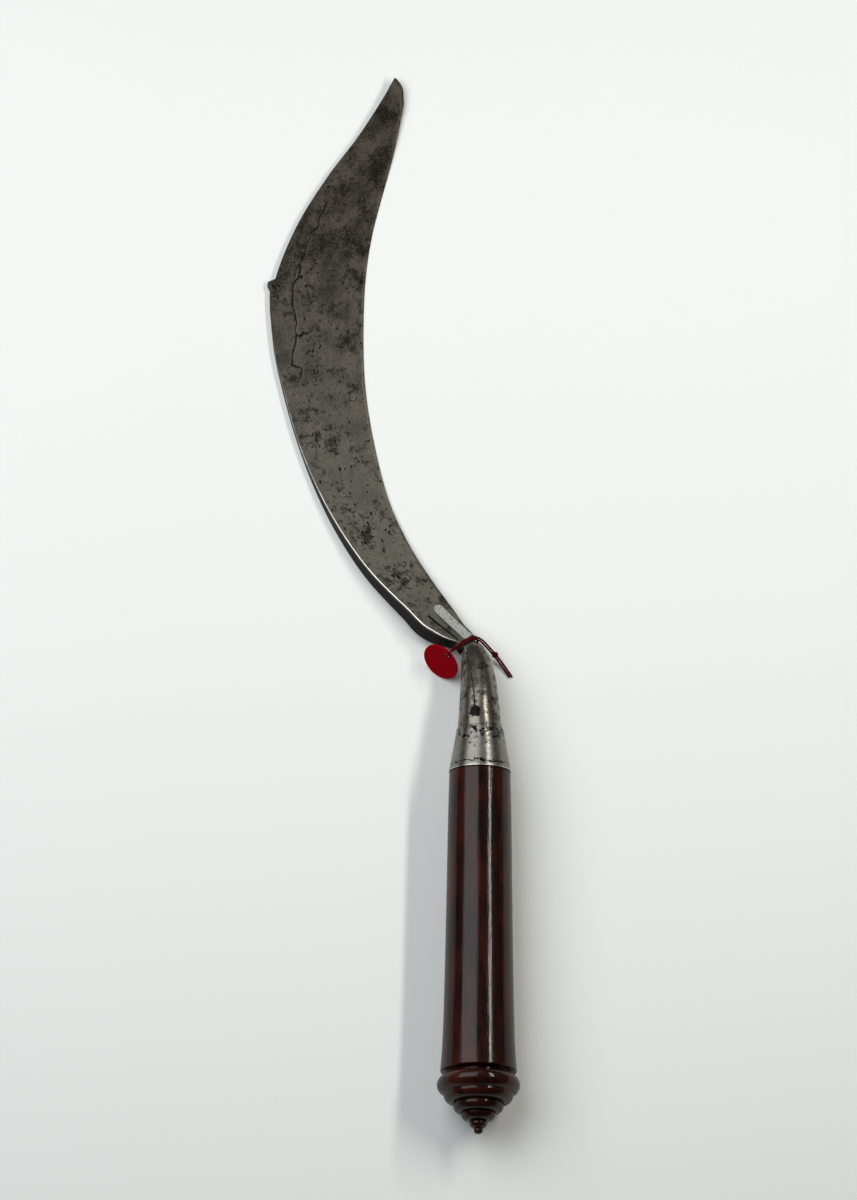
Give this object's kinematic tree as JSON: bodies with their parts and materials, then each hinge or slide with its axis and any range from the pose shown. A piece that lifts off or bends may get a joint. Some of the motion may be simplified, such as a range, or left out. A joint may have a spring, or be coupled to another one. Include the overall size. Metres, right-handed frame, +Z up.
{
  "type": "hand sickle",
  "caption": "Hand sickle with a crescent blade on a cranked tang, a ferruled turned wooden handle with a stepped pommel, and a round tag tied at the neck.",
  "frame": {"origin": "on the bench the tool lies on, under the middle of its bounding box", "axes": "+Y along the handle from the pommel to the blade's point, +X towards the cutting edge's side, +Z up from the bench"},
  "size_m": [0.1316, 0.5624, 0.0424],
  "materials": {
    "forged_steel": "dark oiled patina, fine pits and rust streaks",
    "forged_iron": "dark hammered iron, waxed",
    "sheet_iron": "worn and polished by handling, dark pits",
    "hardwood": "dark red-brown, waxed to a gloss",
    "label_paint": "pale grey-white varnish paint",
    "red_fibre": "matt dark red vulcanised fibre",
    "waxed_cord": "twisted dark red thread, waxed"
  },
  "bodies": {
    "sickle": {"blade": "forged_steel", "tang": "forged_iron", "shank_sleeve": "sheet_iron", "seam_rivet": "forged_iron", "ferrule": "sheet_iron", "grip": "hardwood", "pommel": "hardwood", "tang_washer": "forged_iron", "number_patch": "label_paint", "cord_collar": "waxed_cord", "cord_loop": "waxed_cord", "cord_knot": "waxed_cord", "cord_tail_a": "waxed_cord", "cord_tail_b": "waxed_cord"},
    "tag": {"tag_disc": "red_fibre"}
  },
  "joints": [
    {"name": "tag_swing", "type": "hinge", "parent": "sickle", "child": "tag", "pos_m": [0.02768, -0.02823, 0.01535], "axis": [-0.6918, 0.6958, 0.1931], "range_deg": [-10, 45]}
  ]
}
